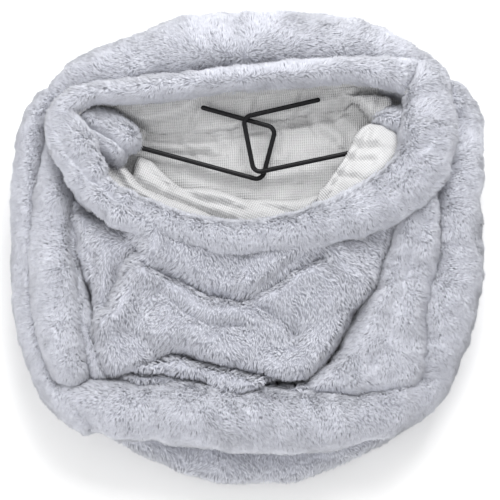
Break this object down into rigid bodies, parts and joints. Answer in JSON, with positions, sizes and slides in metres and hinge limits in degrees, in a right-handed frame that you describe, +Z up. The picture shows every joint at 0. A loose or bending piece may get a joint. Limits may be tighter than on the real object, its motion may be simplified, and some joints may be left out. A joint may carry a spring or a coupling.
{
  "type": "plush elastic cover with wire hooks",
  "caption": "Slouched plush textile cover with an elastic mouth, a knitted lining and a pair of coated wire hooks on elastic straps.",
  "frame": {"origin": "centre of the resting underside, on the surface the cover lies on", "axes": "+X across the mouth to the right, +Y from the front fold towards the back, +Z up out of the mouth"},
  "size_m": [0.4648, 0.4632, 0.126],
  "materials": {
    "plush": "short dense faux fur pile, pale lavender grey",
    "knit_lining": "fine ribbed knit, off-white",
    "elastic": "woven elastic webbing and cord, white",
    "thread": "polyester sewing thread, grey",
    "vinyl": "glossy black vinyl dip",
    "steel_wire": "drawn spring steel wire"
  },
  "bodies": {
    "cover": {"base_panel": "plush", "front_panel": "plush", "front_lower_roll": "plush", "left_side_panel": "plush", "right_side_panel": "plush", "back_panel": "plush", "left_inner_fold": "plush", "right_inner_fold": "plush", "left_casing_tuck": "plush", "right_casing_tuck": "plush", "mouth_casing_front": "plush", "mouth_casing_back": "plush", "mouth_elastic": "elastic", "casing_stitching": "thread", "lining_floor": "knit_lining", "lining_back_fold": "knit_lining", "lining_front_fold": "knit_lining", "lining_left_fold": "knit_lining", "lining_right_fold": "knit_lining"},
    "left_strap": {"left_strap": "elastic", "left_strap_tack": "thread"},
    "left_hook": {"left_hook_wire": "steel_wire", "left_hook_sleeve": "vinyl", "left_hook_caps": "vinyl"},
    "right_strap": {"right_strap": "elastic", "right_strap_tack": "thread"},
    "right_hook": {"right_hook_wire": "steel_wire", "right_hook_sleeve": "vinyl", "right_hook_caps": "vinyl"}
  },
  "joints": [
    {"name": "left_strap_stretch", "type": "slide", "parent": "cover", "child": "left_strap", "axis": [0.9653, -0.2572, -0.0453], "range_m": [0, 0.012], "stiffness_N_per_m": 60},
    {"name": "left_hook_swing", "type": "hinge", "parent": "left_strap", "child": "left_hook", "pos_m": [-0.13134, 0.11137, 0.07329], "axis": [0, -0.1736, 0.9848], "range_deg": [-5, 2]},
    {"name": "right_strap_stretch", "type": "slide", "parent": "cover", "child": "right_strap", "axis": [-0.9786, -0.2025, -0.0357], "range_m": [0, 0.012], "stiffness_N_per_m": 60},
    {"name": "right_hook_swing", "type": "hinge", "parent": "right_strap", "child": "right_hook", "pos_m": [0.12696, 0.1045, 0.07868], "axis": [0, -0.1736, 0.9848], "range_deg": [-8, 8]}
  ]
}
